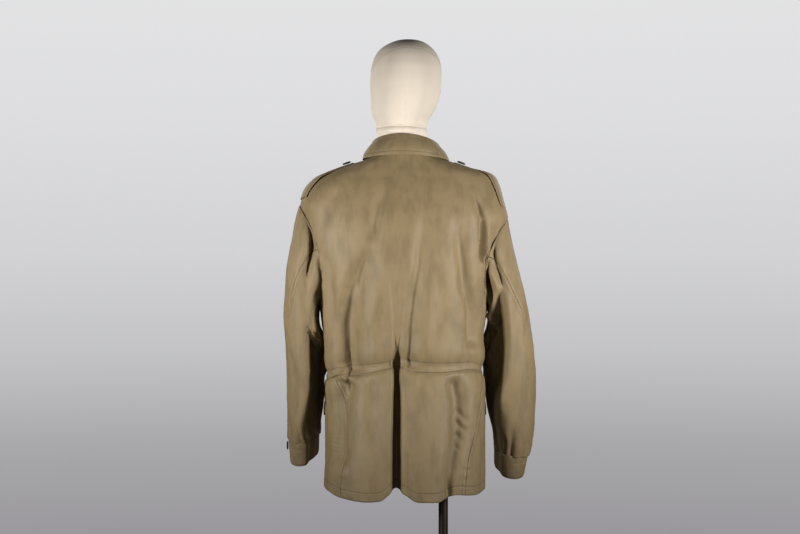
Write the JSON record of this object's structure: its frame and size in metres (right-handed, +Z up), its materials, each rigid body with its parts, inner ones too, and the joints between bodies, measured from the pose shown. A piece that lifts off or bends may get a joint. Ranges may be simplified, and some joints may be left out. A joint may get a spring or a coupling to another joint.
{
  "type": "field jacket on a limbless dress form",
  "caption": "Plain cotton field jacket, buttoned, with turn-down collar, shoulder straps and a gathered waist, worn by a limbless dress form on a pole and round base.",
  "frame": {"origin": "centre of the round base's underside, on the floor", "axes": "+Z up along the pole; the jacket's front faces -Y and its wearer's left is +X"},
  "size_m": [0.5622, 0.4, 1.7995],
  "materials": {
    "jacket_sateen": "worn cotton sateen, soft sheen",
    "button_resin": "dull dark resin",
    "form_jersey": "smooth stretched jersey",
    "pole_steel": "dark satin",
    "base_paint": "satin black paint"
  },
  "bodies": {
    "root": {"back": "jacket_sateen", "front_left": "jacket_sateen", "front_right": "jacket_sateen", "sleeve_left_upper": "jacket_sateen", "sleeve_left_under": "jacket_sateen", "sleeve_right_upper": "jacket_sateen", "sleeve_right_under": "jacket_sateen", "cuff_left": "jacket_sateen", "cuff_right": "jacket_sateen", "collar_stand": "jacket_sateen", "collar_fall": "jacket_sateen", "strap_left": "jacket_sateen", "strap_right": "jacket_sateen", "waist_tape_left": "jacket_sateen", "waist_tape_right": "jacket_sateen", "flap_left": "jacket_sateen", "flap_right": "jacket_sateen", "button_strap_left": "button_resin", "button_strap_right": "button_resin", "button_cuff_left": "button_resin", "button_cuff_right": "button_resin", "button_front_1": "button_resin", "button_front_2": "button_resin", "button_front_3": "button_resin", "button_front_4": "button_resin", "button_front_5": "button_resin", "button_front_6": "button_resin", "form_torso": "form_jersey", "form_head": "form_jersey", "pole_flange": "pole_steel", "pole": "pole_steel", "base": "base_paint"}
  },
  "joints": []
}
